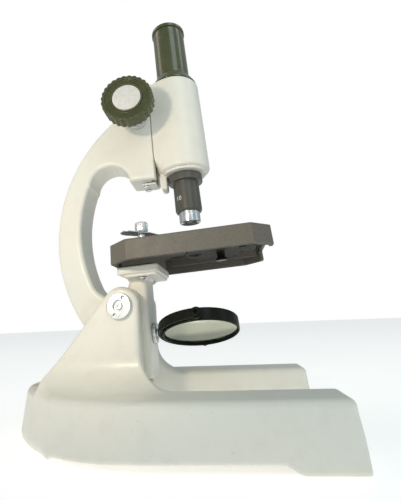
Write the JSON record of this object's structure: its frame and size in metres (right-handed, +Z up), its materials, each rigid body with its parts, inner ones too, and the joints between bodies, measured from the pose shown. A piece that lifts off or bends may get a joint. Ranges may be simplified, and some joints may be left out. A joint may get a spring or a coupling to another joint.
{
  "type": "microscope",
  "caption": "Small upright student microscope with a horseshoe foot, tilting C-shaped arm, rack focus, plastic stage with clips and a swivelling mirror.",
  "frame": {"origin": "on the table, under the middle of the foot's length and width", "axes": "+X to the front over the toes of the foot, +Y to the left of a user seated behind the arm, +Z up"},
  "size_m": [0.168, 0.122, 0.2791],
  "materials": {
    "paint": "off-white stove enamel on die-cast metal, satin",
    "tube_black": "black enamel on metal, semi-gloss",
    "knob_plastic": "black moulded plastic, semi-gloss",
    "stage_plastic": "black moulded plastic with a fine leather grain",
    "mirror_black": "deep black enamel, semi-gloss",
    "bright_metal": "nickel plated turned steel",
    "brass": "machined",
    "white_plastic": "white disc, matt",
    "lens_glass": "polished, coated",
    "mirror_glass": "silvered glass"
  },
  "bodies": {
    "foot": {"foot_casting": "paint", "pivot_bolt": "bright_metal", "pivot_cap_near": "bright_metal", "pivot_cap_far": "bright_metal"},
    "arm": {"arm_casting": "paint", "bushing_near": "bright_metal", "bushing_far": "bright_metal", "gib_plate": "paint", "gib_screw_near": "bright_metal", "gib_screw_far": "bright_metal", "stage": "stage_plastic", "stage_screw_near": "bright_metal", "stage_screw_far": "bright_metal", "disc_pin": "mirror_black", "clip_knob_near": "bright_metal", "clip_knob_far": "bright_metal", "mirror_boss": "bright_metal"},
    "focus_body": {"body_tube": "paint", "rack": "brass", "tube_collar": "tube_black", "eyepiece_tube": "tube_black", "objective_barrel": "tube_black", "objective_sleeve": "bright_metal", "front_lens": "lens_glass"},
    "eyepiece": {"eyepiece_cap": "tube_black", "eye_lens": "lens_glass", "field_lens": "lens_glass"},
    "focus_shaft": {"pinion_shaft": "bright_metal", "knob_near": "knob_plastic", "knob_far": "knob_plastic", "knob_insert_near": "white_plastic", "knob_insert_far": "white_plastic"},
    "aperture_disc": {"aperture_disc": "mirror_black"},
    "clip_near": {"clip_leaf_near": "bright_metal"},
    "clip_far": {"clip_leaf_far": "bright_metal"},
    "mirror_fork": {"mirror_stud": "bright_metal", "mirror_fork": "mirror_black", "mirror_screw_near": "mirror_black", "mirror_screw_far": "mirror_black"},
    "mirror": {"mirror_cell": "mirror_black", "mirror_glass": "mirror_glass"}
  },
  "joints": [
    {"name": "arm_tilt", "type": "hinge", "parent": "foot", "child": "arm", "pos_m": [-0.0225, 0, 0.065], "axis": [0, -1, 0], "range_deg": [-4, 41]},
    {"name": "focus_travel", "type": "slide", "parent": "arm", "child": "focus_body", "axis": [-0.0698, 0, 0.9976], "range_m": [-0.01, 0.02]},
    {"name": "focus_turn", "type": "hinge", "parent": "arm", "child": "focus_shaft", "pos_m": [-0.01731, 0, 0.18997], "axis": [0, -1, 0], "range_deg": [-107, 213]},
    {"name": "eyepiece_lift", "type": "slide", "parent": "focus_body", "child": "eyepiece", "axis": [-0.0698, 0, 0.9976], "range_m": [0, 0.03]},
    {"name": "aperture_turn", "type": "hinge", "parent": "arm", "child": "aperture_disc", "pos_m": [0.03432, 0, 0.09684], "axis": [-0.0698, 0, 0.9976], "continuous": true},
    {"name": "clip_swing_near", "type": "hinge", "parent": "arm", "child": "clip_near", "pos_m": [-0.01042, -0.028, 0.10444], "axis": [-0.0698, 0, 0.9976], "range_deg": [-60, 3]},
    {"name": "clip_swing_far", "type": "hinge", "parent": "arm", "child": "clip_far", "pos_m": [-0.01042, 0.028, 0.10444], "axis": [0.0698, 0, -0.9976], "range_deg": [-60, 3]},
    {"name": "mirror_swivel", "type": "hinge", "parent": "arm", "child": "mirror_fork", "pos_m": [-0.00642, 0, 0.05008], "axis": [0.9976, 0, 0.0698], "continuous": true},
    {"name": "mirror_tilt", "type": "hinge", "parent": "mirror_fork", "child": "mirror", "pos_m": [0.01912, 0, 0.05187], "axis": [0.0233, 0.9426, -0.333], "continuous": true}
  ],
  "couplings": [
    {"joint": "focus_turn", "follows": "focus_travel", "rad_per_m": 185.19}
  ]
}
